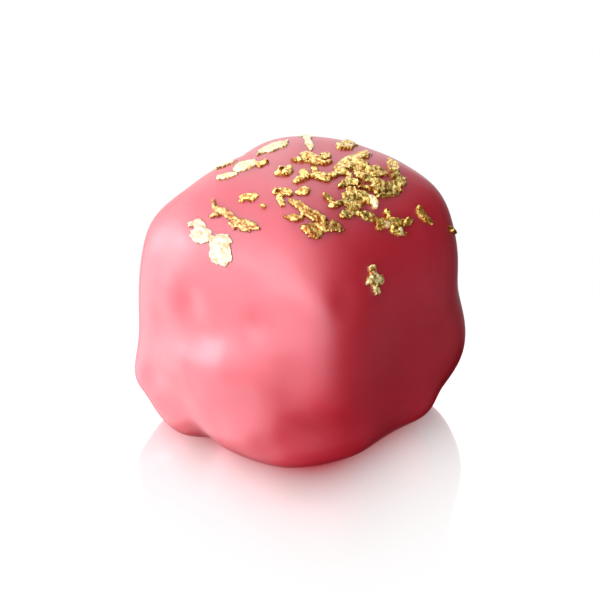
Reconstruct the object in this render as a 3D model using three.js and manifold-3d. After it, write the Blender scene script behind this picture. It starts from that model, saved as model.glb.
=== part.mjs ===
// A Turkish delight cube in a smooth poured coating, with torn gold leaf stuck to its top.
// Millimetres, +Z up. The cube stands on the plane z = 0, with the origin under its middle.
// Its front corner, between the faces that look along -Y and +X, is the one with most leaf.

import * as THREE from "three";
import { mergeVertices } from "three/addons/utils/BufferGeometryUtils.js";
import Module from "manifold-3d";

// Driving dimensions of the coated cube.
const WIDTH_X = 26.0;
const WIDTH_Y = 26.8;
const HEIGHT = 27.1;
const WAIST_HEIGHT = 11.3;
const FOOT_CUT = 0.5;

// How square each section is: 2 is an ellipse, and larger values have tighter corners.
const PLAN_SQUARENESS = 3.9;
const TOP_SQUARENESS = 2.7;
const FOOT_SQUARENESS = 4.4;

// Facets along each edge of the cube.
const BODY_STEPS = 22;

// The leaf: how far it stands off the coating, how far its rim is sunk in it, how ragged it is.
const LEAF_LIFT = { smooth: [0.14, 0.2], crumpled: [0.12, 0.42] };
const LEAF_SINK = 0.35;
const LEAF_RAGGED = [0.74, 1.14];
const LEAF_SIDES = { least: 6, most: 11, perMillimetre: 2.4 };
const LEAF_SEED = 7;

// The leaf is laid out on a slanted plane through the waist that faces the front corner.
const LAYOUT_TURN = THREE.MathUtils.degToRad(40);
const LAYOUT_RISE = THREE.MathUtils.degToRad(28);
const LAYOUT_REACH = 24;
const LAYOUT_STEP = 0.5;
const LAYOUT_HALVINGS = 12;

const COATING_COLOUR = "#e0707c";
const COATING_ROUGHNESS = 0.4;

// Swells (+) and hollows (-) of the coating. Each lies at a point, or along a line to a second one,
// fades over its reach (along x, y and z where it has three), and lifts the surface by its height.
const SWELLS = [
  // The front edge, between the faces that look along -Y and +X.
  { at: [12.4, -9.6, 9.5], to: [12.4, -9.6, 18.5], reach: [2.2, 2.6, 2.6], height: 0.45 },
  { at: [12.9, -6.4, 12.0], to: [12.9, -6.4, 18.0], reach: [2.4, 3.2, 3.4], height: 0.35 },
  { at: [8.5, -13.2, 9.0], to: [8.5, -13.2, 14.0], reach: 2.4, height: 0.4 },
  { at: [10.8, -10.8, 5.2], reach: [2.6, 2.6, 2.0], height: -0.7 },
  { at: [11.3, -11.4, 8.0], to: [11.3, -11.4, 18.0], reach: 1.6, height: 0.2 },
  { at: [9.4, -12.4, 8.0], to: [9.4, -12.4, 18.0], reach: 1.5, height: -0.3 },
  { at: [11.2, -11.2, 7.5], reach: 1.6, height: -0.35 },
  { at: [11.0, -11.0, 20.5], reach: 1.8, height: 0.45 },
  { at: [12.6, -8.2, 19.6], reach: 1.2, height: -0.35 },
  // The face that looks along -Y.
  { at: [-1.0, -13.3, 8.0], to: [5.0, -13.3, 11.5], reach: 2.3, height: 0.7 },
  { at: [-3.6, -13.4, 12.6], to: [-1.4, -13.4, 13.2], reach: [2.4, 2.4, 1.5], height: -0.4 },
  { at: [-7.0, -12.0, 21.0], reach: 2.2, height: -0.35 },
  { at: [-7.4, -12.9, 7.6], reach: 1.8, height: -0.35 },
  { at: [-2.9, -13.1, 16.3], reach: 1.4, height: -0.45 },
  { at: [-2.0, -13.3, 12.6], to: [1.6, -13.3, 12.6], reach: [2.0, 2.0, 1.2], height: 0.35 },
  { at: [-2.0, -13.4, 10.4], to: [2.0, -13.4, 10.8], reach: [2.0, 2.0, 1.2], height: 0.45 },
  { at: [-5.2, -13.2, 8.4], reach: 1.8, height: 0.25 },
  { at: [-7.4, -13.0, 12.0], to: [-7.4, -13.0, 17.5], reach: 1.9, height: -0.4 },
  { at: [5.7, -12.8, 16.6], reach: 1.1, height: -0.35 },
  { at: [-4.5, -12.4, 22.5], to: [3.4, -12.4, 22.6], reach: 1.4, height: 0.3 },
  // The foot of that face.
  { at: [-9.2, -12.0, 4.9], to: [-4.6, -12.0, 1.2], reach: 2.0, height: 1.0 },
  { at: [-9.6, -12.0, 3.0], reach: 1.8, height: -0.5 },
  { at: [-1.8, -11.5, 1.5], reach: 1.4, height: -0.6 },
  { at: [1.3, -12.6, 2.8], to: [6.6, -12.3, 2.8], reach: 2.2, height: 0.6 },
  { at: [4.0, -13.5, 5.2], reach: 1.8, height: 0.35 },
  { at: [7.0, -12.8, 4.0], reach: 1.5, height: -0.3 },
  { at: [1.0, -13.3, 8.3], to: [7.0, -13.0, 6.5], reach: 1.7, height: 0.3 },
  { at: [-8.4, -12.8, 5.9], reach: 1.5, height: -0.5 },
  { at: [-6.0, -13.1, 3.4], reach: 1.3, height: -0.3 },
  { at: [-11.2, -12.0, 4.9], reach: 1.6, height: 0.4 },
  { at: [9.4, -9.2, 0.8], reach: 2.8, height: -0.2 },
  // The face that looks along +X, and its foot.
  { at: [11.2, 11.2, 13.2], reach: 2.0, height: -0.35 },
  { at: [11.4, 10.6, 7.6], reach: 2.8, height: 0.65 },
  { at: [11.8, 8.4, 2.8], reach: 2.0, height: -0.45 },
  { at: [12.0, 4.4, 2.5], reach: 1.6, height: 0.5 },
  { at: [12.0, -4.8, 2.5], reach: 1.6, height: 0.2 },
  // The edges of the top.
  { at: [8.4, 10.2, 22.4], reach: 2.4, height: 0.5 },
  { at: [0.4, 8.3, 25.3], to: [3.0, 8.8, 25.0], reach: 2.6, height: 0.4 },
  { at: [-6.2, 6.4, 25.6], reach: 2.2, height: -0.3 },
  { at: [-9.4, -5.4, 23.8], to: [-8.8, 0.2, 24.6], reach: 2.4, height: -0.6 },
  { at: [-10.6, -9.4, 20.4], reach: 2.0, height: 0.25 },
];

// Gold leaf, as scraps on the layout plane: across, up, length, width, turn in degrees.
const SMOOTH_LEAF = {
  shoulderPair: [
    [-9.5, 7.65, 1.6, 1.0, -5],
    [-9.1, 6.7, 2.0, 1.4, -12],
    [-7.3, 5.3, 2.6, 2.1, -85],
    [-7.1, 4.2, 0.9, 0.8, -60],
    [-8.0, 5.9, 1.3, 0.7, -80],
  ],
  leftRim: [
    [-6.9, 12.3, 2.0, 0.5, 12],
    [-5.15, 13.35, 2.1, 0.9, 20],
    [-7.0, 13.5, 2.1, 0.3, 22],
    [-2.4, 15.3, 2.8, 0.8, 18],
    [-3.6, 14.7, 1.1, 0.3, 30],
  ],
  backRim: [
    [0.6, 16.4, 1.1, 0.5, -20],
    [0.9, 15.6, 1.3, 0.7, -70],
  ],
  brightFacets: [
    [6.75, 9.75, 1.2, 0.6, -58],
    [7.95, 7.65, 0.7, 0.5, -40],
    [9.2, 7.0, 0.7, 0.45, -70],
  ],
};

const CRUMPLED_LEAF = {
  shoulderBar: [
    [-7.0, 8.8, 2.4, 0.7, -28],
    [-5.2, 7.65, 2.5, 1.0, -10],
    [-7.95, 9.4, 1.3, 0.4, -80],
    [-7.9, 8.5, 1.1, 0.4, 10],
  ],
  looseScraps: [
    [-4.8, 10.15, 1.7, 0.75, 12],
    [-3.4, 9.35, 0.6, 0.45, 0],
    [-3.5, 13.5, 1.2, 0.45, 22],
    [-1.4, 12.75, 1.9, 0.75, 12],
    [-1.6, 10.7, 1.9, 0.7, -5],
    [-1.8, 9.9, 1.2, 0.6, -65],
    [0.35, 10.7, 1.4, 0.7, 15],
    [4.4, 15.4, 1.7, 0.8, 10],
    [2.6, 10.1, 1.2, 0.6, -45],
  ],
  backCluster: [
    [0.0, 13.8, 1.4, 0.4, -5],
    [1.0, 14.2, 1.7, 0.7, -15],
    [1.4, 13.7, 1.4, 0.8, 15],
    [2.4, 14.3, 1.0, 0.6, -5],
    [2.4, 13.6, 1.1, 0.4, 10],
    [0.0, 11.9, 1.7, 0.5, 25],
    [0.5, 12.4, 1.1, 0.8, -25],
    [1.4, 12.8, 0.8, 0.6, -40],
    [1.8, 12.2, 1.5, 0.6, -10],
    [2.5, 11.8, 0.7, 0.3, -10],
  ],
  frontCluster: [
    [-0.2, 9.5, 2.2, 0.7, -32],
    [1.0, 8.6, 2.0, 1.0, -20],
    [-0.6, 8.25, 1.7, 0.6, -5],
    [1.1, 7.3, 1.8, 0.9, 0],
    [1.6, 6.7, 1.5, 0.8, 20],
    [2.4, 7.4, 1.7, 0.9, -8],
    [3.4, 7.4, 1.7, 0.75, -30],
    [1.7, 8.3, 1.5, 0.6, -20],
  ],
  crownLeaves: [
    [5.2, 14.05, 3.4, 0.8, 20],
    [3.2, 12.4, 1.6, 0.6, 22],
    [4.2, 13.15, 1.9, 0.9, 18],
    [5.5, 13.35, 1.6, 0.9, -5],
    [4.2, 12.5, 1.2, 0.5, -10],
    [4.4, 11.6, 1.7, 0.7, 12],
    [4.5, 12.1, 0.8, 0.4, 60],
    [5.9, 12.3, 1.7, 0.9, -25],
    [7.2, 12.7, 2.3, 0.9, -14],
    [5.1, 11.5, 0.9, 0.6, -5],
  ],
  rightLeaves: [
    [7.8, 11.2, 3.0, 1.4, -12],
    [8.1, 10.4, 2.1, 0.4, 10],
    [6.1, 11.1, 1.5, 0.4, -8],
    [8.8, 13.1, 1.7, 0.9, -65],
    [9.2, 12.0, 1.5, 1.0, -30],
    [9.15, 11.05, 0.8, 0.6, -35],
  ],
  diamond: [
    [4.8, 9.95, 2.3, 1.6, -85],
    [3.3, 9.5, 1.5, 0.6, 18],
    [5.3, 9.5, 1.2, 0.9, -20],
    [6.1, 10.2, 1.6, 0.8, -45],
    [4.25, 8.55, 1.3, 0.7, -5],
    [5.2, 8.8, 0.8, 0.4, -50],
    [6.35, 8.4, 1.9, 0.75, -20],
  ],
  edgeCluster: [
    [7.4, 7.7, 0.9, 1.0, -25],
    [8.8, 7.9, 1.8, 0.8, -5],
    [8.9, 7.1, 1.3, 0.8, -10],
    [10.0, 7.9, 1.2, 0.7, 35],
    [9.7, 6.8, 0.5, 0.35, -10],
    [8.05, 8.7, 0.9, 0.5, -70],
  ],
  rightFaceScraps: [
    [11.4, 8.8, 1.6, 0.6, -55],
    [12.1, 8.1, 1.2, 0.4, -35],
    [14.5, 7.3, 0.9, 0.3, -45],
    [6.7, 3.3, 1.2, 0.6, -85],
    [6.9, 2.5, 1.4, 0.8, 5],
    [7.0, 1.6, 1.0, 0.6, -75],
  ],
};

const WAIST = new THREE.Vector3(0, 0, WAIST_HEIGHT);
const LAYOUT_ACROSS = new THREE.Vector3(Math.cos(LAYOUT_TURN), Math.sin(LAYOUT_TURN), 0);
const LAYOUT_FACING = new THREE.Vector3(
  Math.sin(LAYOUT_TURN) * Math.cos(LAYOUT_RISE),
  -Math.cos(LAYOUT_TURN) * Math.cos(LAYOUT_RISE),
  Math.sin(LAYOUT_RISE),
);
const LAYOUT_UP = new THREE.Vector3().crossVectors(LAYOUT_FACING, LAYOUT_ACROSS);

// Numbers from 0 to 1 that come out the same on every run.
function seededRandom(seed) {
  let state = seed;
  return () => {
    state = (state * 1664525 + 1013904223) % 4294967296;
    return state / 4294967296;
  };
}

function between([low, high], share) {
  return low + (high - low) * share;
}

// Distance from the waist to the plain soft cube, before any swell, along a unit direction.
function plainReach(direction) {
  const across = Math.hypot(
    (Math.abs(direction.x) / (WIDTH_X / 2)) ** (PLAN_SQUARENESS / 2),
    (Math.abs(direction.y) / (WIDTH_Y / 2)) ** (PLAN_SQUARENESS / 2),
  ) ** (2 / PLAN_SQUARENESS);
  const above = direction.z > 0;
  const rise = above ? HEIGHT - WAIST_HEIGHT : WAIST_HEIGHT + FOOT_CUT;
  const squareness = above ? TOP_SQUARENESS : FOOT_SQUARENESS;
  const along = Math.abs(direction.z) / rise;
  return (across ** squareness + along ** squareness) ** (-1 / squareness);
}

// How far one swell lifts the surface at a point.
function swellLift(swell, point) {
  const from = new THREE.Vector3(...swell.at);
  const line = new THREE.Line3(from, new THREE.Vector3(...(swell.to ?? swell.at)));
  const nearest = swell.to ? line.closestPointToPoint(point, true, new THREE.Vector3()) : from;
  const reach = Array.isArray(swell.reach) ? swell.reach : [swell.reach, swell.reach, swell.reach];
  const away = point.clone().sub(nearest).divide(new THREE.Vector3(...reach));
  return swell.height * Math.exp(-away.lengthSq() / 2);
}

// Distance from the waist to the finished coating, along a unit direction.
function coatingReach(direction) {
  const plain = plainReach(direction);
  const point = direction.clone().multiplyScalar(plain).add(WAIST);
  return SWELLS.reduce((reach, swell) => reach + swellLift(swell, point), plain);
}

function atReach(direction, reach) {
  return direction.clone().multiplyScalar(reach).add(WAIST);
}

// The unit direction from the waist to where a line square to the layout plane meets the coating,
// or to where it comes nearest, past the rim.
function directionBehind(across, up) {
  const start = LAYOUT_ACROSS.clone().multiplyScalar(across).addScaledVector(LAYOUT_UP, up);
  const offset = (depth) => start.clone().addScaledVector(LAYOUT_FACING, depth);
  const clearance = (depth) => {
    const place = offset(depth);
    return place.length() - coatingReach(place.normalize());
  };
  let outside = LAYOUT_REACH;
  let inside = outside - LAYOUT_STEP;
  let nearest = outside;
  while (inside > -LAYOUT_REACH && clearance(inside) > 0) {
    nearest = clearance(inside) < clearance(nearest) ? inside : nearest;
    outside = inside;
    inside -= LAYOUT_STEP;
  }
  if (inside <= -LAYOUT_REACH) {
    return offset(nearest).normalize();
  }
  for (let halving = 0; halving < LAYOUT_HALVINGS; halving += 1) {
    const middle = (outside + inside) / 2;
    if (clearance(middle) > 0) {
      outside = middle;
    } else {
      inside = middle;
    }
  }
  return offset(inside).normalize();
}

// The positions of a geometry, moved one by one, as a closed surface of shared vertices.
function reshaped(geometry, move) {
  geometry.deleteAttribute("normal");
  geometry.deleteAttribute("uv");
  const merged = mergeVertices(geometry);
  const position = merged.getAttribute("position");
  const vertex = new THREE.Vector3();
  for (let index = 0; index < position.count; index += 1) {
    vertex.fromBufferAttribute(position, index);
    const moved = move(vertex);
    position.setXYZ(index, moved.x, moved.y, moved.z);
  }
  return merged;
}

// The coated cube: a divided box blown out from the waist, and cut flat where it stands.
function coatedBody() {
  const box = new THREE.BoxGeometry(2, 2, 2, BODY_STEPS, BODY_STEPS, BODY_STEPS);
  const even = (value) => Math.tan((value * Math.PI) / 4);
  return reshaped(box, (vertex) => {
    const direction = new THREE.Vector3(even(vertex.x), even(vertex.y), even(vertex.z)).normalize();
    const point = atReach(direction, coatingReach(direction));
    point.z = Math.max(point.z, 0);
    return point;
  });
}

// One scrap of leaf: a thin ragged disc that follows the coating, with its underside sunk in it.
function leafScrap([across, up, length, width, turn], lift, random) {
  const sides = THREE.MathUtils.clamp(
    Math.round(LEAF_SIDES.least + LEAF_SIDES.perMillimetre * (length - 1)),
    LEAF_SIDES.least,
    LEAF_SIDES.most,
  );
  const disc = new THREE.CylinderGeometry(1, 1, 2, sides, 1);
  const angle = THREE.MathUtils.degToRad(turn);
  const rim = new Map();
  return reshaped(disc, (vertex) => {
    const corner = Math.round((Math.atan2(vertex.z, vertex.x) / (2 * Math.PI)) * sides);
    if (!rim.has(corner)) {
      rim.set(corner, between(LEAF_RAGGED, random()));
    }
    const along = (vertex.x * length * rim.get(corner)) / 2;
    const aside = (-vertex.z * width * rim.get(corner)) / 2;
    const direction = directionBehind(
      across + along * Math.cos(angle) - aside * Math.sin(angle),
      up + along * Math.sin(angle) + aside * Math.cos(angle),
    );
    const stand = vertex.y > 0 ? between(lift, random()) : -LEAF_SINK;
    return atReach(direction, coatingReach(direction) + stand);
  });
}

function allScraps() {
  const random = seededRandom(LEAF_SEED);
  const smooth = Object.values(SMOOTH_LEAF).flat();
  const crumpled = Object.values(CRUMPLED_LEAF).flat();
  return [
    ...smooth.map((scrap) => leafScrap(scrap, LEAF_LIFT.smooth, random)),
    ...crumpled.map((scrap) => leafScrap(scrap, LEAF_LIFT.crumpled, random)),
  ];
}

const wasm = await Module();
wasm.setup();

function asSolid(geometry) {
  return new wasm.Manifold(new wasm.Mesh({
    numProp: 3,
    vertProperties: Float32Array.from(geometry.getAttribute("position").array),
    triVerts: Uint32Array.from(geometry.index.array),
  }));
}

function asGeometry(solid) {
  const mesh = solid.getMesh();
  const geometry = new THREE.BufferGeometry();
  geometry.setAttribute("position", new THREE.BufferAttribute(mesh.vertProperties, 3));
  geometry.setIndex(new THREE.BufferAttribute(mesh.triVerts, 1));
  geometry.computeVertexNormals();
  return geometry;
}

function coatedCube() {
  const joined = allScraps().reduce(
    (solid, scrap) => solid.add(asSolid(scrap)),
    asSolid(coatedBody()),
  );
  const material = new THREE.MeshStandardMaterial({
    color: COATING_COLOUR,
    roughness: COATING_ROUGHNESS,
    metalness: 0,
  });
  const cube = new THREE.Mesh(asGeometry(joined), material);
  cube.name = "coated_cube";
  return cube;
}

const turkishDelightCube = new THREE.Group();
turkishDelightCube.add(coatedCube());

export default turkishDelightCube;
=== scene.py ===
"""Looks of the coated Turkish delight cube: the coating, the torn gold leaf, floor, light and camera.

+Z up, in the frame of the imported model. Sizes here are in millimetres, as the part is drawn, unless a comment
says otherwise, and MM turns them into the frame's metres.
"""

import math

import bpy
import numpy as np
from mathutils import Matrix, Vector


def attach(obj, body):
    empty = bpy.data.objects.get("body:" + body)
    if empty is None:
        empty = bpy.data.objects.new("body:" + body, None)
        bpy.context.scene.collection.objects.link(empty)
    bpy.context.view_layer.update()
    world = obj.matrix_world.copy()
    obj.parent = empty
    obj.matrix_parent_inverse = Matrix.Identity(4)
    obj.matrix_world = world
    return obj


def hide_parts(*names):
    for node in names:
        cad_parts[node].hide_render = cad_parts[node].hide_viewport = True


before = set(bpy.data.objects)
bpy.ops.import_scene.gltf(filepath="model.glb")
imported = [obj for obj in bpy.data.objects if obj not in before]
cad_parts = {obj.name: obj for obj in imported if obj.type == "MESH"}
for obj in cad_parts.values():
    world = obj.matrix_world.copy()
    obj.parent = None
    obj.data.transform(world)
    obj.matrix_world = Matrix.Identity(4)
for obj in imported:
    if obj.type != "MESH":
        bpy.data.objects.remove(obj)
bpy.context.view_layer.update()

MM = 0.001

# The coated cube, as in the part. A squareness of 2 is round, and a larger one is squarer.
HALF_WIDTHS = (13.0, 13.4)
HEIGHT = 27.1
WAIST_HEIGHT = 11.3
FOOT_CUT = 0.5
PLAN_SQUARENESS = 3.9
TOP_SQUARENESS = 2.7
FOOT_SQUARENESS = 4.4
# Into how many steps each side of the divided cube is cut.
BODY_STEPS = 104

# Swells (+) and hollows (-): from, to where they are long, reach in all directions or along x y z, height.
SWELLS = [
    # The front edge, between the faces that look along -Y and +X.
    ((12.4, -9.6, 9.5), (12.4, -9.6, 18.5), (2.2, 2.6, 2.6), 0.45),
    ((12.9, -6.4, 12.0), (12.9, -6.4, 18.0), (2.4, 3.2, 3.4), 0.35),
    ((8.5, -13.2, 9.0), (8.5, -13.2, 14.0), 2.4, 0.4),
    ((10.8, -10.8, 5.2), None, (2.6, 2.6, 2.0), -0.7),
    ((11.3, -11.4, 8.0), (11.3, -11.4, 18.0), 1.6, 0.2),
    ((9.4, -12.4, 8.0), (9.4, -12.4, 18.0), 1.5, -0.3),
    ((11.2, -11.2, 7.5), None, 1.6, -0.35),
    ((11.0, -11.0, 20.5), None, 1.8, 0.45),
    ((12.6, -8.2, 19.6), None, 1.2, -0.35),
    # The face that looks along -Y.
    ((-1.0, -13.3, 8.0), (5.0, -13.3, 11.5), 2.3, 0.7),
    ((-3.6, -13.4, 12.6), (-1.4, -13.4, 13.2), (2.4, 2.4, 1.5), -0.4),
    ((-7.0, -12.0, 21.0), None, 2.2, -0.35),
    ((-7.4, -12.9, 7.6), None, 1.8, -0.35),
    ((-2.9, -13.1, 16.3), None, 1.4, -0.45),
    ((-2.0, -13.3, 12.6), (1.6, -13.3, 12.6), (2.0, 2.0, 1.2), 0.35),
    ((-2.0, -13.4, 10.4), (2.0, -13.4, 10.8), (2.0, 2.0, 1.2), 0.45),
    ((-5.2, -13.2, 8.4), None, 1.8, 0.25),
    ((-7.4, -13.0, 12.0), (-7.4, -13.0, 17.5), 1.9, -0.4),
    ((5.7, -12.8, 16.6), None, 1.1, -0.35),
    ((-4.5, -12.4, 22.5), (3.4, -12.4, 22.6), 1.4, 0.3),
    # The foot of that face.
    ((-9.2, -12.0, 4.9), (-4.6, -12.0, 1.2), 2.0, 1.0),
    ((-9.6, -12.0, 3.0), None, 1.8, -0.5),
    ((-1.8, -11.5, 1.5), None, 1.4, -0.6),
    ((1.3, -12.6, 2.8), (6.6, -12.3, 2.8), 2.2, 0.6),
    ((4.0, -13.5, 5.2), None, 1.8, 0.35),
    ((7.0, -12.8, 4.0), None, 1.5, -0.3),
    ((1.0, -13.3, 8.3), (7.0, -13.0, 6.5), 1.7, 0.3),
    ((-8.4, -12.8, 5.9), None, 1.5, -0.5),
    ((-6.0, -13.1, 3.4), None, 1.3, -0.3),
    ((-11.2, -12.0, 4.9), None, 1.6, 0.4),
    ((9.4, -9.2, 0.8), None, 2.8, -0.2),
    # The face that looks along +X, and its foot.
    ((11.2, 11.2, 13.2), None, 2.0, -0.35),
    ((11.4, 10.6, 7.6), None, 2.8, 0.65),
    ((11.8, 8.4, 2.8), None, 2.0, -0.45),
    ((12.0, 4.4, 2.5), None, 1.6, 0.5),
    ((12.0, -4.8, 2.5), None, 1.6, 0.2),
    # The edges of the top.
    ((8.4, 10.2, 22.4), None, 2.4, 0.5),
    ((0.4, 8.3, 25.3), (3.0, 8.8, 25.0), 2.6, 0.4),
    ((-6.2, 6.4, 25.6), None, 2.2, -0.3),
    ((-9.4, -5.4, 23.8), (-8.8, 0.2, 24.6), 2.4, -0.6),
    ((-10.6, -9.4, 20.4), None, 2.0, 0.25),
]

# The slanted plane through the waist that the leaf is laid out on.
LAYOUT_TURN = math.radians(40)
LAYOUT_RISE = math.radians(28)
ACROSS = np.array([math.cos(LAYOUT_TURN), math.sin(LAYOUT_TURN), 0.0])
FACING = np.array([
    math.sin(LAYOUT_TURN) * math.cos(LAYOUT_RISE),
    -math.cos(LAYOUT_TURN) * math.cos(LAYOUT_RISE),
    math.sin(LAYOUT_RISE),
])
UP = np.cross(FACING, ACROSS)
WAIST = np.array([0.0, 0.0, WAIST_HEIGHT])

# Scraps of leaf on that plane: across, up, length, width, turn in degrees.
# The pale leaf on the shoulder.
SHOULDER_SCRAPS = [
    (-9.5, 7.65, 1.6, 1.0, -5),
    (-9.1, 6.7, 2.0, 1.4, -12),
    (-7.3, 5.3, 2.6, 2.1, -85),
    (-7.1, 4.2, 0.9, 0.8, -60),
    (-8.0, 5.9, 1.3, 0.7, -80),
]
# The pale slivers at the far rim of the top.
RIM_SCRAPS = [
    (-6.9, 12.3, 2.0, 0.5, 12),
    (-5.15, 13.35, 2.1, 0.9, 20),
    (-7.0, 13.5, 2.1, 0.3, 22),
    (-2.4, 15.3, 2.8, 0.8, 18),
    (-3.6, 14.7, 1.1, 0.3, 30),
    (0.6, 16.4, 1.1, 0.5, -20),
    (0.9, 15.6, 1.3, 0.7, -70),
]
# The bright flakes that stand up from the clusters.
BRIGHT_SCRAPS = [
    (6.75, 9.75, 1.3, 0.6, -55),
    (7.95, 7.65, 0.7, 0.45, -40),
    (9.2, 7.0, 0.8, 0.4, -70),
]
# The bar on the shoulder.
BAR_SCRAPS = [
    (-7.0, 8.8, 2.4, 0.75, -28),
    (-5.2, 7.65, 2.5, 1.05, -10),
    (-7.95, 9.4, 1.3, 0.4, -80),
    (-7.9, 8.5, 1.1, 0.4, 10),
]
# The loose scraps.
LOOSE_SCRAPS = [
    (-4.8, 10.15, 1.7, 0.75, 12),
    (-3.4, 9.35, 0.6, 0.45, 0),
    (-3.5, 13.5, 1.2, 0.45, 22),
    (-1.4, 12.75, 1.9, 0.75, 12),
    (-1.6, 10.7, 1.9, 0.7, -5),
    (-1.8, 9.9, 1.2, 0.6, -65),
    (0.35, 10.7, 1.4, 0.7, 15),
    (4.4, 15.4, 1.7, 0.8, 10),
    (2.6, 10.1, 1.2, 0.6, -45),
]
# The cluster at the back.
BACK_SCRAPS = [
    (0.0, 13.8, 1.4, 0.4, -5),
    (1.0, 14.2, 1.7, 0.7, -15),
    (1.4, 13.7, 1.4, 0.8, 15),
    (2.4, 14.3, 1.0, 0.6, -5),
    (2.4, 13.6, 1.1, 0.4, 10),
    (0.0, 11.9, 1.7, 0.5, 25),
    (0.5, 12.4, 1.1, 0.8, -25),
    (1.4, 12.8, 0.8, 0.6, -40),
    (1.8, 12.2, 1.5, 0.6, -10),
    (2.5, 11.8, 0.7, 0.3, -10),
]
# The cluster at the front.
FRONT_SCRAPS = [
    (-0.2, 9.5, 2.2, 0.7, -32),
    (1.0, 8.6, 2.0, 1.0, -20),
    (-0.6, 8.25, 1.7, 0.6, -5),
    (1.1, 7.3, 1.8, 0.9, 0),
    (1.6, 6.7, 1.5, 0.8, 20),
    (2.4, 7.4, 1.7, 0.9, -8),
    (3.4, 7.4, 1.7, 0.75, -30),
    (1.7, 8.3, 1.5, 0.6, -20),
]
# The leaves of the crown.
CROWN_SCRAPS = [
    (5.2, 14.05, 3.4, 0.8, 20),
    (3.2, 12.4, 1.6, 0.6, 22),
    (4.2, 13.15, 1.9, 0.9, 18),
    (5.5, 13.35, 1.6, 0.9, -5),
    (4.2, 12.5, 1.2, 0.5, -10),
    (4.4, 11.6, 1.7, 0.7, 12),
    (4.5, 12.1, 0.8, 0.4, 60),
    (5.9, 12.3, 1.7, 0.9, -25),
    (7.2, 12.7, 2.3, 0.9, -14),
    (5.1, 11.5, 0.9, 0.6, -5),
]
# The leaves on the right.
RIGHT_SCRAPS = [
    (7.8, 11.2, 3.0, 1.4, -12),
    (8.1, 10.4, 2.1, 0.4, 10),
    (6.1, 11.1, 1.5, 0.4, -8),
    (8.8, 13.1, 1.7, 0.9, -65),
    (9.2, 12.0, 1.5, 1.0, -30),
    (9.15, 11.05, 0.8, 0.6, -35),
]
# The diamond and what lies round it.
MIDDLE_SCRAPS = [
    (4.8, 9.95, 2.3, 1.6, -85),
    (3.3, 9.5, 1.5, 0.6, 18),
    (5.3, 9.5, 1.2, 0.9, -20),
    (6.1, 10.2, 1.6, 0.8, -45),
    (4.25, 8.55, 1.3, 0.7, -5),
    (5.2, 8.8, 0.8, 0.4, -50),
    (6.35, 8.4, 1.9, 0.75, -20),
]
# The cluster on the edge and the scraps to its right.
EDGE_SCRAPS = [
    (7.4, 7.7, 0.9, 1.0, -25),
    (8.8, 7.9, 1.8, 0.8, -5),
    (8.9, 7.1, 1.3, 0.8, -10),
    (10.0, 7.9, 1.2, 0.7, 35),
    (9.7, 6.8, 0.5, 0.35, -10),
    (8.05, 8.7, 0.9, 0.5, -70),
    (11.4, 8.8, 1.6, 0.6, -55),
    (12.1, 8.1, 1.2, 0.4, -35),
    (14.5, 7.3, 0.9, 0.3, -45),
]
# The flake on the face that looks along +X.
SIDE_SCRAPS = [
    (6.7, 3.35, 1.2, 0.75, -85),
    (6.95, 2.5, 1.5, 1.0, 5),
    (7.0, 1.6, 1.0, 0.6, -75),
]
# Bare places in and between those scraps.
GAPS = [
    (-10.05, 7.35, 0.5, 0.25, 10),
    (-5.8, 7.2, 0.3, 0.2, -10),
    (-4.9, 9.8, 0.4, 0.15, 0),
    (-1.65, 12.75, 0.3, 0.2, 0),
    (-2.0, 10.65, 0.3, 0.2, 0),
    (4.75, 12.55, 0.5, 0.25, -35),
    (4.0, 12.15, 0.5, 0.3, 10),
    (5.6, 11.65, 0.6, 0.25, 0),
    (6.3, 11.5, 0.5, 0.3, -10),
    (5.4, 10.95, 0.6, 0.2, -5),
    (8.15, 12.1, 1.0, 0.35, -8),
    (8.5, 12.6, 0.35, 0.25, 0),
]

# How the coating behind a place on that plane is found: from how far out, in what steps, and how often the
# last step is halved.
SEARCH_FROM = 24.0
SEARCH_STEP = 0.5
HALVINGS = 12

# The triangle lattice that leaf is torn from: its pitch, its rows' share of that, how far its points are
# shifted, and where on the plane it starts and how far it goes, across and up.
LATTICE_PITCH = 0.1
ROW_SHARE = 0.866
LATTICE_SHIFT = 0.3
LATTICE_START = (-11.5, 0.5)
LATTICE_EXTENT = (28, 18)
LATTICE_SEED = 11

# A scrap's outline: its fewest and most sides, how far out they and its rounded corners lie, in half sizes,
# the size of its smooth and of its pointed tears, and the heights at which these tear nothing off.
FEWEST_SIDES, MOST_SIDES = 5, 7
SIDE_REACH = (0.95, 1.25)
CORNER_REACH = 1.25
SMOOTH_TEAR = 0.4
POINTED_TEAR = 0.22
SMOOTH_MEAN = 0.5
FACET_MEAN = 0.53
# How far each scrap's tears are taken from those of its neighbours, across and up.
TEAR_APART = (7, 5)
# The outline of a bare place, in half sizes, and the size of its tears.
GAP_REACH = 1.15
GAP_TEAR = 0.3
# How deep a place lies in the leaf before any scrap covers it.
FAR_OUTSIDE = -9.0
# How far scraps tilt and rise against each other.
SCRAP_TILT = 0.12
SCRAP_RISE = 0.14

# Crumpled leaf: the size of its large and small folds, the height of the small folds and of the grain as
# shares of the large folds, and how much of the scraps' tilt and rise shows.
LARGE_FOLD = 0.5
SMALL_FOLD = 0.25
SMALL_FOLD_SHARE = 0.45
GRAIN_SHARE = 0.08
LEVEL_SHARE = 0.5
# The share of its height that leaf has at its outline, how deep inside it has it all, and how far its
# underside is sunk in the coating.
OUTLINE_SHARE = 0.3
FULL_HEIGHT_AT = 0.3
UNDERSIDE_SUNK = 0.12
# Random heights repeat after this many cells, and folds bend over this many of their sizes.
NOISE_CELLS = 256
FOLD_BEND = 1.6
# What each use of random numbers in a piece of leaf adds to the piece's seed.
SMOOTH_TEAR_SEED, POINTED_TEAR_SEED, LARGE_FOLD_SEED, SMALL_FOLD_SEED, GRAIN_SEED, GAP_SEED = range(1, 7)
BEND_SEEDS = (7, 8)

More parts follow.
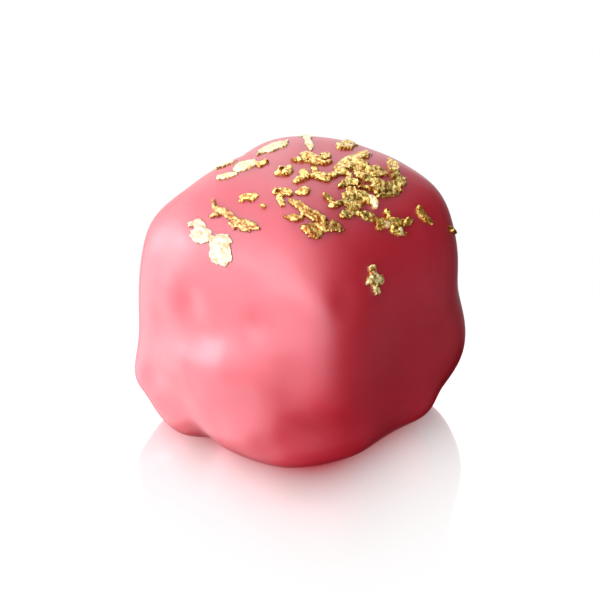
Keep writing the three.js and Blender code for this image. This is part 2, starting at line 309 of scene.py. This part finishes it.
# How leaf lies: how far its outline is torn, how high it is crumpled, and how far its rim stands off.
CRUMPLED = {"torn": 0.3, "crumple": 0.24, "rim": 0.05}
WELL_CRUMPLED = {"torn": 0.3, "crumple": 0.26, "rim": 0.05}
SMOOTH = {"torn": 0.2, "crumple": 0.12, "rim": 0.05}
THIN = {"torn": 0.16, "crumple": 0.11, "rim": 0.04}
RAISED = {"torn": 0.35, "crumple": 0.2, "rim": 0.22}

# The finish of leaf: its two tones, and how metallic and how rough it is; on the edge and side, painted light
# too.
GOLD = {"dark": (0.34, 0.135, 0.03), "light": (0.72, 0.575, 0.215), "metallic": 0.85, "roughness": 0.22}
DEEP_GOLD = {"dark": (0.29, 0.1, 0.025), "light": (0.54, 0.385, 0.145), "metallic": 0.85, "roughness": 0.22}
BAR_GOLD = {"dark": (0.24, 0.085, 0.03), "light": (0.47, 0.33, 0.15), "metallic": 0.85, "roughness": 0.22}
# Painted light: the edge and side leaf are toned paler and brighter than the rest, for the weak light on that
# side.
PAINTED_LIT_EDGE_GOLD = {"dark": (0.36, 0.1, 0.02), "light": (0.86, 0.64, 0.2), "metallic": 0.75, "roughness": 0.22}
PAINTED_LIT_SIDE_GOLD = {"dark": (0.4, 0.13, 0.02), "light": (1.0, 0.94, 0.5), "metallic": 0.6, "roughness": 0.22}
PALE_LEAF = {"dark": (0.36, 0.24, 0.13), "light": (0.42, 0.39, 0.325), "metallic": 0.7, "roughness": 0.45}
RIM_LEAF = {"dark": (0.5, 0.38, 0.17), "light": (0.74, 0.66, 0.42), "metallic": 0.7, "roughness": 0.35}
BRIGHT_LEAF = {"dark": (0.85, 0.6, 0.25), "light": (1.0, 0.9, 0.6), "metallic": 0.6, "roughness": 0.3}

# The pieces of leaf: scraps, seed of the random draws, how they lie, finish (with painted light for edge and
# side).
LEAVES = {
    "bar_leaf": (BAR_SCRAPS, 110, CRUMPLED, BAR_GOLD),
    "loose_leaf": (LOOSE_SCRAPS, 103, CRUMPLED, GOLD),
    "back_leaf": (BACK_SCRAPS, 107, CRUMPLED, GOLD),
    "front_leaf": (FRONT_SCRAPS, 128, CRUMPLED, DEEP_GOLD),
    "crown_leaf": (CROWN_SCRAPS, 147, CRUMPLED, GOLD),
    "right_leaf": (RIGHT_SCRAPS, 142, CRUMPLED, GOLD),
    "middle_leaf": (MIDDLE_SCRAPS, 105, CRUMPLED, GOLD),
    "edge_leaf_painted_light": (EDGE_SCRAPS, 131, WELL_CRUMPLED, PAINTED_LIT_EDGE_GOLD),
    "side_leaf_painted_light": (SIDE_SCRAPS, 142, WELL_CRUMPLED, PAINTED_LIT_SIDE_GOLD),
    "shoulder_leaf": (SHOULDER_SCRAPS, 31, SMOOTH, PALE_LEAF),
    "rim_leaf": (RIM_SCRAPS, 104, THIN, RIM_LEAF),
    "bright_leaf": (BRIGHT_SCRAPS, 41, RAISED, BRIGHT_LEAF),
}

# Patterns on the leaf: a noise's scale is in features a metre, and a bump's depth in millimetres.
LEAF_TONE = {"scale": 2600, "detail": 2, "dark_at": 0.38, "light_at": 0.6}
LEAF_WRINKLE = {"scale": 5200, "detail": 2, "strength": 0.3, "depth": 0.06}

# The coating, which scatters light inside it, and the faint clouds, waxy places and ripples in it.
COATING = {"colour": (0.345, 0.029, 0.045), "roughness": 0.33, "specular": 1.0, "ior": 1.5}
COATING_SHEEN = (1.0, 0.92, 1.0)
COATING_SCATTER = {"weight": 0.85, "radius": (5.0, 0.8, 0.9)}
CLOUDS = {"scale": 140, "detail": 3, "deep_at": 0.3, "pale_at": 0.7}
DEEP_CLOUD = (0.96, 0.85, 0.86)
PALE_CLOUD = (1.03, 1.18, 1.16)
WAX = {"scale": 420, "detail": 4, "roughness": 0.05}
RIPPLE = {"scale": 260, "detail": 2, "strength": 0.12, "depth": 0.3}

# The table glows white and shows a mirror image of the cube that fades: its share at the foot, how far out
# the foot is, and how much further out it has fallen to about a third.
# Painted shade: near the foot the mirror image covers the glow and darkens the table; its tint reddens the
# image.
FLOOR = {"half_side": 1500, "white": 0.03, "glow": 0.96}
MIRROR_AND_PAINTED_SHADE = {"share": 0.64, "foot": 11.2, "fade": 4.9, "tint": (1.7, 1.0, 1.1), "blur": 0.06}

# The camera, its clipping distances in metres, and how far off the light panels stand.
CAMERA_AZIMUTH = 40
CAMERA_ELEVATION = 28
CAMERA_DISTANCE = 290
CAMERA_TARGET = (0, 0, 12.1)
CAMERA_LENS = 180
CAMERA_CLIP = (0.01, 20)
PANEL_DISTANCE = 400
PANEL_TARGET = (0, 0, 12)

# The studio is a dome of soft panels this many degrees high, up and down to its limit. Each lobe brightens
# the panels near it: azimuth from the camera, elevation, spread in degrees, brightness.
PANEL_DEGREES = 20
DOME_LIMIT = 80
LOBES = {
    "left": (-105, 6, 16, 2.1),
    "left_wide": (-88, 14, 37, 2.0),
    "left_low": (-111, -31, 19, 2.3),
    "left_foot": (-62, -42, 14, 2.0),
    "left_high": (-59, 28, 20, 3.0),
    "front": (-25, 8, 21, 2.1),
    "front_right": (22, 1, 19, 2.4),
    "front_high": (0, 50, 26, 1.8),
    "front_low": (-17, -14, 20, 0.6),
    "far_right": (103, -20, 16, 0.2),
    "rear_left": (-158, 40, 27, 2.3),
    "rear": (173, -6, 17, 0.9),
    "far_high": (142, 62, 20, 0.5),
}
# Panels dimmer than this are left out.
DIMMEST = 0.05
# One smaller brighter panel: azimuth from the camera, elevation, degrees wide, degrees high, brightness.
STRIP = (-96, 5, 20, 18, 3.9)

# The picture's tone curve: how far its shadows are deepened, and the levels at which the curve is set.
TOE = 0.045
TONE_LEVELS = (0.02, 0.05, 0.1, 0.2, 0.4, 0.7)
COMBINED_CURVE = 3


# The body.
def plain_reach(direction):
    """Distance from the waist to the plain soft cube, along unit directions."""
    across = sum(
        (np.abs(direction[:, axis]) / HALF_WIDTHS[axis]) ** PLAN_SQUARENESS for axis in (0, 1)
    ) ** (1 / PLAN_SQUARENESS)
    above = direction[:, 2] > 0
    rise = np.where(above, HEIGHT - WAIST_HEIGHT, WAIST_HEIGHT + FOOT_CUT)
    squareness = np.where(above, TOP_SQUARENESS, FOOT_SQUARENESS)
    along = np.abs(direction[:, 2]) / rise
    return (across**squareness + along**squareness) ** (-1 / squareness)


def coating_reach(direction):
    """Distance from the waist to the finished coating, along unit directions."""
    plain = plain_reach(direction)
    point = direction * plain[:, None] + WAIST
    reach = plain.copy()
    for start, end, spread, height in SWELLS:
        start = np.array(start)
        line = np.array(end) - start if end else np.zeros(3)
        length = line @ line
        share = np.clip((point - start) @ line / length, 0, 1) if length else np.zeros(len(point))
        away = (point - start - share[:, None] * line) / np.array(spread)
        reach += height * np.exp(-(away**2).sum(axis=1) / 2)
    return reach


def unit(vectors):
    return vectors / np.linalg.norm(vectors, axis=1, keepdims=True)


def make_object(name, vertices, faces, smooth=True):
    """A mesh object in the scene, from points in millimetres."""
    mesh = bpy.data.meshes.new(name)
    mesh.from_pydata((np.asarray(vertices) * MM).tolist(), [], faces)
    mesh.validate()
    mesh.update()
    mesh.polygons.foreach_set("use_smooth", np.full(len(mesh.polygons), smooth))
    made = bpy.data.objects.new(name, mesh)
    bpy.context.scene.collection.objects.link(made)
    return made


def cube_grid(steps):
    """Points and quads of a divided cube from -1 to 1, with shared edges."""
    index = {}
    faces = []

    def number(*place):
        return index.setdefault(place, len(index))

    for a in range(steps):
        for b in range(steps):
            square = [(a, b), (a, b + 1), (a + 1, b + 1), (a + 1, b)]
            for axis in range(3):
                for side in (0, steps):
                    corners = [place[:axis] + (side,) + place[axis:] for place in square]
                    outward = (side == 0) != (axis == 1)
                    corners = corners if outward else corners[::-1]
                    faces.append([number(*corner) for corner in corners])
    return np.array(list(index)) / steps * 2 - 1, faces


def coating_piece():
    """The cube's coating: a divided cube blown out to the coating's reach, and cut flat where it stands."""
    points, faces = cube_grid(BODY_STEPS)
    direction = unit(np.tan(points * math.pi / 4))
    vertices = direction * coating_reach(direction)[:, None] + WAIST
    vertices[:, 2] = np.maximum(vertices[:, 2], 0)
    return make_object("coating", vertices, faces)


# The gold leaf.
def behind(places):
    """Unit directions from the waist to where lines square to the layout plane meet the coating.

    A line that misses the coating gives the direction in which it comes nearest.
    """
    start = places[:, :1] * ACROSS + places[:, 1:] * UP

    def clearance(depth):
        offset = start + depth[:, None] * FACING
        return np.linalg.norm(offset, axis=1) - coating_reach(unit(offset))

    outside = np.full(len(places), SEARCH_FROM)
    nearest = outside.copy()
    least = clearance(nearest)
    found = np.zeros(len(places), bool)
    for _ in range(int(2 * SEARCH_FROM / SEARCH_STEP)):
        inside = np.where(found, outside, outside - SEARCH_STEP)
        gap = clearance(inside)
        closer = ~found & (gap < least)
        nearest[closer] = inside[closer]
        least[closer] = gap[closer]
        found |= gap <= 0
        outside = np.where(found, outside, inside)
        if found.all():
            break
    low = outside - SEARCH_STEP
    high = outside.copy()
    for _ in range(HALVINGS):
        middle = (low + high) / 2
        gap = clearance(middle)
        high = np.where(gap > 0, middle, high)
        low = np.where(gap > 0, low, middle)
    depth = np.where(found, low, nearest)
    return unit(start + depth[:, None] * FACING)


def lattice():
    """The jittered lattice on the leaf's part of the layout plane: places and triangles."""
    random = np.random.default_rng(LATTICE_SEED)
    columns = int(LATTICE_EXTENT[0] / LATTICE_PITCH)
    rows = int(LATTICE_EXTENT[1] / (LATTICE_PITCH * ROW_SHARE))
    column, row = np.meshgrid(np.arange(columns), np.arange(rows))
    across = (column + (row % 2) * 0.5) * LATTICE_PITCH + LATTICE_START[0]
    up = row * LATTICE_PITCH * ROW_SHARE + LATTICE_START[1]
    places = np.stack([across, up], axis=-1).reshape(-1, 2)
    places += random.uniform(-LATTICE_SHIFT, LATTICE_SHIFT, places.shape) * LATTICE_PITCH
    here = (row * columns + column)[:-1, :-1].ravel()
    odd = (row[:-1, :-1] % 2 == 1).ravel()
    right, over = here + 1, here + columns
    even_pair = [(here, right, over), (right, over + 1, over)]
    odd_pair = [(here, right, over + 1), (here, over + 1, over)]
    triangles = [
        np.stack([np.where(odd, o, e) for o, e in zip(odd_tri, even_tri)], axis=1)
        for odd_tri, even_tri in zip(odd_pair, even_pair)
    ]
    return places, np.concatenate(triangles)


def noise_cell(grid, seed):
    """Random heights at the corners of each place's cell (00, 10, 01, 11), and where in it the place lies."""
    table = np.random.default_rng(seed).random((NOISE_CELLS, NOISE_CELLS))
    cell = np.floor(grid).astype(int)
    x0, y0 = cell[:, 0] % NOISE_CELLS, cell[:, 1] % NOISE_CELLS
    x1, y1 = (x0 + 1) % NOISE_CELLS, (y0 + 1) % NOISE_CELLS
    return table[x0, y0], table[x1, y0], table[x0, y1], table[x1, y1], grid - cell


def smooth_noise(places, size, seed):
    """Smooth heights from 0 to 1 with features of the given size."""
    h00, h10, h01, h11, part = noise_cell(places / size, seed)
    part = part * part * (3 - 2 * part)
    across, up = part[:, 0], part[:, 1]
    low = h00 * (1 - across) + h10 * across
    high = h01 * (1 - across) + h11 * across
    return low * (1 - up) + high * up


def facets(places, size, seed):
    """Heights from 0 to 1 that make flat facets of about the given size, with sharp folds between them."""
    bends = [smooth_noise(places, size * FOLD_BEND, seed + more) for more in BEND_SEEDS]
    bent = places + size * np.stack(bends, axis=1)
    h00, h10, h01, h11, part = noise_cell(bent / size, seed)
    across, up = part[:, 0], part[:, 1]
    lower = h00 + (h10 - h00) * across + (h01 - h00) * up
    upper = h11 + (h01 - h11) * (1 - across) + (h10 - h11) * (1 - up)
    return np.where(across + up < 1, lower, upper)


def along_and_aside(places, across, up, turn):
    """How far each place lies from a middle, along and aside of a turned length."""
    angle = math.radians(turn)
    away = places - (across, up)
    along = away[:, 0] * math.cos(angle) + away[:, 1] * math.sin(angle)
    aside = -away[:, 0] * math.sin(angle) + away[:, 1] * math.cos(angle)
    return along, aside


def scrap_outline(along, aside, random):
    """How deep places lie in a scrap of half sizes 1: a polygon of random sides with rounded corners."""
    sides = random.integers(FEWEST_SIDES, MOST_SIDES + 1)
    side_turn = 2 * math.pi / sides
    bearing = np.sort(random.uniform(0, side_turn, sides)) + np.arange(sides) * side_turn
    bearing += random.uniform(0, 2 * math.pi)
    reach = random.uniform(*SIDE_REACH, sides)
    place = np.stack([along, aside], axis=1)
    walls = [
        edge - place @ np.array([math.cos(b), math.sin(b)]) for b, edge in zip(bearing, reach)
    ]
    corners = CORNER_REACH - np.linalg.norm(place, axis=1)
    return np.minimum(np.min(walls, axis=0), corners)


def scrap_cover(places, scraps, seed, torn):
    """How deep each place lies in the scraps (above 0 is inside), and how far they rise there."""
    random = np.random.default_rng(seed)
    depth = np.full(len(places), FAR_OUTSIDE)
    level = np.zeros(len(places))
    for across, up, length, width, turn in scraps:
        along, aside = along_and_aside(places, across, up, turn)
        here = scrap_outline(along / (length / 2), aside / (width / 2), random)
        moved = places + across * TEAR_APART[0]
        smooth_tears = smooth_noise(moved, SMOOTH_TEAR, seed + SMOOTH_TEAR_SEED) - SMOOTH_MEAN
        moved = places + up * TEAR_APART[1]
        pointed_tears = facets(moved, POINTED_TEAR, seed + POINTED_TEAR_SEED) - FACET_MEAN
        here = here + torn * smooth_tears + torn * pointed_tears
        tilt = random.uniform(-SCRAP_TILT, SCRAP_TILT, 2)
        own = random.uniform(0, SCRAP_RISE) + tilt[0] * along + tilt[1] * aside
        deepest = (here > depth) & (here > 0)
        level = np.where(deepest, np.where(depth > 0, np.maximum(level, own), own), level)
        depth = np.maximum(depth, here)
    for across, up, length, width, turn in GAPS:
        along, aside = along_and_aside(places, across, up, turn)
        bare = GAP_REACH - np.hypot(along / (length / 2), aside / (width / 2))
        bare += torn * (smooth_noise(places, GAP_TEAR, seed + GAP_SEED) - SMOOTH_MEAN)
        depth = np.where(bare > 0, np.minimum(depth, -bare), depth)
    return depth, level


def leaf_piece(name, scraps, seed, torn, crumple, rim):
    """Closed thin crumpled leaf over the coating: a torn lattice, its rim and its sunk underside."""
    places, triangles = lattice()
    depth, level = scrap_cover(places, scraps, seed, torn)
    kept = triangles[(depth[triangles] > 0).all(axis=1)]
    used, renumbered = np.unique(kept, return_inverse=True)
    kept = renumbered.reshape(-1, 3)
    places, depth, level = places[used], depth[used], level[used]
    direction = behind(places)
    reach = coating_reach(direction)
    folds = facets(places, LARGE_FOLD, seed + LARGE_FOLD_SEED)
    folds += SMALL_FOLD_SHARE * facets(places, SMALL_FOLD, seed + SMALL_FOLD_SEED)
    folds += GRAIN_SHARE * np.random.default_rng(seed + GRAIN_SEED).random(len(places))
    height = crumple * folds + LEVEL_SHARE * np.abs(level)
    height *= OUTLINE_SHARE + (1 - OUTLINE_SHARE) * np.clip(depth / FULL_HEIGHT_AT, 0, 1)
    top = direction * (reach + rim + height)[:, None] + WAIST
    under = direction * (reach - UNDERSIDE_SUNK)[:, None] + WAIST
    edges = np.concatenate([kept[:, [0, 1]], kept[:, [1, 2]], kept[:, [2, 0]]])
    directed = {(a, b) for a, b in edges.tolist()}
    border = sorted((a, b) for a, b in directed if (b, a) not in directed)
    count = len(places)
    faces = kept.tolist()
    faces += (kept[:, ::-1] + count).tolist()
    faces += [[b, a, a + count, b + count] for a, b in border]
    return make_object(name, np.concatenate([top, under]), faces, smooth=False)


# Materials.
def new_material(name):
    material = bpy.data.materials.new(name)
    material.use_nodes = True
    nodes = material.node_tree.nodes
    return material, nodes, material.node_tree.links, nodes["Principled BSDF"]


def noise_node(nodes, links, place, noise):
    node = nodes.new("ShaderNodeTexNoise")
    node.inputs["Scale"].default_value = noise["scale"]
    node.inputs["Detail"].default_value = noise["detail"]
    links.new(place, node.inputs["Vector"])
    return node.outputs["Fac"]


def ramp_node(nodes, links, value, stops):
    node = nodes.new("ShaderNodeValToRGB")
    for element, (level, colour) in zip(node.color_ramp.elements, stops):
        element.position = level
        element.color = (*colour, 1)
    links.new(value, node.inputs["Fac"])
    return node.outputs["Color"]


def bump_node(nodes, links, place, noise):
    node = nodes.new("ShaderNodeBump")
    node.inputs["Strength"].default_value = noise["strength"]
    node.inputs["Distance"].default_value = noise["depth"] * MM
    links.new(noise_node(nodes, links, place, noise), node.inputs["Height"])
    return node.outputs["Normal"]


def math_node(nodes, links, operation, value, other=None):
    node = nodes.new("ShaderNodeMath")
    node.operation = operation
    links.new(value, node.inputs[0])
    if other is not None:
        node.inputs[1].default_value = other
    return node.outputs["Value"]


def coating_material():
    """Pink coating with a satin sheen, light scattered inside it, and faint clouds, wax and ripples."""
    material, nodes, links, shader = new_material("pink_coating")
    place = nodes.new("ShaderNodeTexCoord").outputs["Object"]
    deep, pale = (
        tuple(channel * share for channel, share in zip(COATING["colour"], cloud))
        for cloud in (DEEP_CLOUD, PALE_CLOUD)
    )
    clouds = noise_node(nodes, links, place, CLOUDS)
    colour = ramp_node(nodes, links, clouds, [(CLOUDS["deep_at"], deep), (CLOUDS["pale_at"], pale)])
    links.new(colour, shader.inputs["Base Color"])
    waxy = nodes.new("ShaderNodeMapRange")
    waxy.inputs["To Min"].default_value = COATING["roughness"] - WAX["roughness"]
    waxy.inputs["To Max"].default_value = COATING["roughness"] + WAX["roughness"]
    links.new(noise_node(nodes, links, place, WAX), waxy.inputs["Value"])
    links.new(waxy.outputs["Result"], shader.inputs["Roughness"])
    shader.inputs["IOR"].default_value = COATING["ior"]
    shader.inputs["Specular IOR Level"].default_value = COATING["specular"]
    shader.inputs["Specular Tint"].default_value = (*COATING_SHEEN, 1)
    shader.inputs["Subsurface Weight"].default_value = COATING_SCATTER["weight"]
    shader.inputs["Subsurface Radius"].default_value = COATING_SCATTER["radius"]
    shader.inputs["Subsurface Scale"].default_value = MM
    links.new(bump_node(nodes, links, place, RIPPLE), shader.inputs["Normal"])
    return material


def leaf_material(name, dark, light, metallic, roughness):
    """Leaf of two tones in small patches, with fine wrinkles."""
    material, nodes, links, shader = new_material(name)
    place = nodes.new("ShaderNodeTexCoord").outputs["Object"]
    patches = noise_node(nodes, links, place, LEAF_TONE)
    tone = ramp_node(nodes, links, patches, [(LEAF_TONE["dark_at"], dark), (LEAF_TONE["light_at"], light)])
    links.new(tone, shader.inputs["Base Color"])
    shader.inputs["Metallic"].default_value = metallic
    shader.inputs["Roughness"].default_value = roughness
    links.new(bump_node(nodes, links, place, LEAF_WRINKLE), shader.inputs["Normal"])
    return material


def table_node(nodes, links):
    """The glowing white of the table."""
    white = nodes.new("ShaderNodeBsdfDiffuse")
    white.inputs["Color"].default_value = (FLOOR["white"], FLOOR["white"], FLOOR["white"], 1)
    glow = nodes.new("ShaderNodeEmission")
    glow.inputs["Strength"].default_value = FLOOR["glow"]
    table = nodes.new("ShaderNodeAddShader")
    links.new(white.outputs["BSDF"], table.inputs[0])
    links.new(glow.outputs["Emission"], table.inputs[1])
    return table.outputs["Shader"]


def mirror_and_painted_shade_share(nodes, links):
    """How much mirror image and painted shade a place shows: less the further out along the foot's soft square.

    How far out it is along that square is (x^4 + y^4)^(1/4).
    """
    # Painted shade: near the foot, where this share is high, the mirror image covers the table's glow.
    place = nodes.new("ShaderNodeTexCoord").outputs["Object"]
    squared = nodes.new("ShaderNodeVectorMath")
    squared.operation = "MULTIPLY"
    links.new(place, squared.inputs[0])
    links.new(place, squared.inputs[1])
    length = nodes.new("ShaderNodeVectorMath")
    length.operation = "LENGTH"
    links.new(squared.outputs["Vector"], length.inputs[0])
    out = math_node(nodes, links, "SQRT", length.outputs["Value"])
    from_foot = math_node(nodes, links, "SUBTRACT", out, MIRROR_AND_PAINTED_SHADE["foot"] * MM)
    fades = math_node(nodes, links, "DIVIDE", from_foot, -MIRROR_AND_PAINTED_SHADE["fade"] * MM)
    falling = math_node(nodes, links, "EXPONENT", fades)
    return math_node(nodes, links, "MULTIPLY", falling, MIRROR_AND_PAINTED_SHADE["share"])


def floor_material():
    """A light table with a mirror image of the cube that fades away from its foot, and painted shade round the
    foot.
    """
    material, nodes, links, shader = new_material("white_table")
    nodes.remove(shader)
    mirror = nodes.new("ShaderNodeBsdfGlossy")
    # Painted reflection colour: the tint makes the mirror image redder than the cube.
    mirror.inputs["Color"].default_value = (*MIRROR_AND_PAINTED_SHADE["tint"], 1)
    mirror.inputs["Roughness"].default_value = MIRROR_AND_PAINTED_SHADE["blur"]
    mix = nodes.new("ShaderNodeMixShader")
    links.new(mirror_and_painted_shade_share(nodes, links), mix.inputs["Fac"])
    links.new(table_node(nodes, links), mix.inputs[1])
    links.new(mirror.outputs["BSDF"], mix.inputs[2])
    links.new(mix.outputs["Shader"], nodes["Material Output"].inputs["Surface"])
    return material


# Stage: floor, camera, light and tone.
def make_floor():
    """The table. Only the camera sees it: it casts no shadow and no light on the cube."""
    side = FLOOR["half_side"]
    corners = [(-side, -side, 0), (side, -side, 0), (side, side, 0), (-side, side, 0)]
    floor = make_object("floor", corners, [[0, 1, 2, 3]], smooth=False)
    floor.data.materials.append(floor_material())
    floor.visible_diffuse = False
    floor.visible_glossy = False
    floor.visible_shadow = False


def looking_back(azimuth, elevation):
    """Unit vector from the cube towards a place at that azimuth and elevation."""
    a, e = math.radians(azimuth), math.radians(elevation)
    return Vector((math.sin(a) * math.cos(e), -math.cos(a) * math.cos(e), math.sin(e)))


def aim(thing, azimuth, elevation, distance, target):
    """Put a thing at that bearing and distance from the target, looking at it."""
    back = looking_back(azimuth, elevation)
    thing.location = (Vector(target) + back * distance) * MM
    thing.rotation_mode = "QUATERNION"
    thing.rotation_quaternion = (-back).to_track_quat("-Z", "Y")


def make_camera():
    lens = bpy.data.cameras.new("camera")
    lens.lens = CAMERA_LENS
    lens.clip_start, lens.clip_end = CAMERA_CLIP
    camera = bpy.data.objects.new("camera", lens)
    bpy.context.scene.collection.objects.link(camera)
    aim(camera, CAMERA_AZIMUTH, CAMERA_ELEVATION, CAMERA_DISTANCE, CAMERA_TARGET)
    bpy.context.scene.camera = camera


def make_panel(azimuth, elevation, wide, high, brightness):
    """A soft panel that looks equally bright wherever it stands, its sizes in degrees."""
    width, height = (2 * PANEL_DISTANCE * MM * math.tan(math.radians(size) / 2) for size in (wide, high))
    panel = bpy.data.lights.new("panel", "AREA")
    panel.shape = "RECTANGLE"
    panel.size = width
    panel.size_y = height
    panel.energy = brightness * math.pi * width * height
    holder = bpy.data.objects.new("panel", panel)
    bpy.context.scene.collection.objects.link(holder)
    aim(holder, CAMERA_AZIMUTH + azimuth, elevation, PANEL_DISTANCE, PANEL_TARGET)


def dome_brightness(azimuth, elevation):
    """How bright the dome is in that direction: the sum of its lobes there."""
    here = looking_back(azimuth, elevation)
    return sum(
        strength * math.exp(-(math.degrees(here.angle(looking_back(middle, height))) / spread) ** 2 / 2)
        for middle, height, spread, strength in LOBES.values()
    )


def make_lights():
    """The dome's panels, row by row, and the strip."""
    for elevation in range(-DOME_LIMIT, DOME_LIMIT + 1, PANEL_DEGREES):
        round_about = 360 * math.cos(math.radians(elevation))
        count = round(round_about / PANEL_DEGREES)
        for number in range(count):
            azimuth = 360 * (number + 0.5) / count - 180
            brightness = dome_brightness(azimuth, elevation)
            if brightness > DIMMEST:
                make_panel(azimuth, elevation, round_about / count, PANEL_DEGREES, brightness)
    make_panel(*STRIP)


def make_backdrop():
    """White behind everything. It lights nothing: the panels do."""
    world = bpy.data.worlds.new("studio")
    world.use_nodes = True
    world.node_tree.nodes["Background"].inputs["Color"].default_value = (1, 1, 1, 1)
    world.cycles_visibility.diffuse = False
    world.cycles_visibility.glossy = False
    world.cycles_visibility.transmission = False
    world.cycles_visibility.scatter = False
    bpy.context.scene.world = world


def set_tone():
    """Standard view with deeper shadows: level x becomes x * x / (x + TOE) * (1 + TOE)."""
    view = bpy.context.scene.view_settings
    view.view_transform = "Standard"
    view.look = "None"
    view.use_curve_mapping = True
    curve = view.curve_mapping.curves[COMBINED_CURVE]
    for level in TONE_LEVELS:
        curve.points.new(level, level * level / (level + TOE) * (1 + TOE))
    view.curve_mapping.update()


def ride_along(piece):
    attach(piece, "root")
    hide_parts("coated_cube")


coating = coating_piece()
coating.data.materials.append(coating_material())
ride_along(coating)
# The edge and side leaf carry painted light: brighter tones for the weak light on that side.
for name, (scraps, seed, lie, finish_and_painted_light) in LEAVES.items():
    leaf = leaf_piece(name, scraps, seed, **lie)
    leaf.data.materials.append(leaf_material(name, **finish_and_painted_light))
    ride_along(leaf)

make_floor()
make_camera()
make_lights()
make_backdrop()
set_tone()
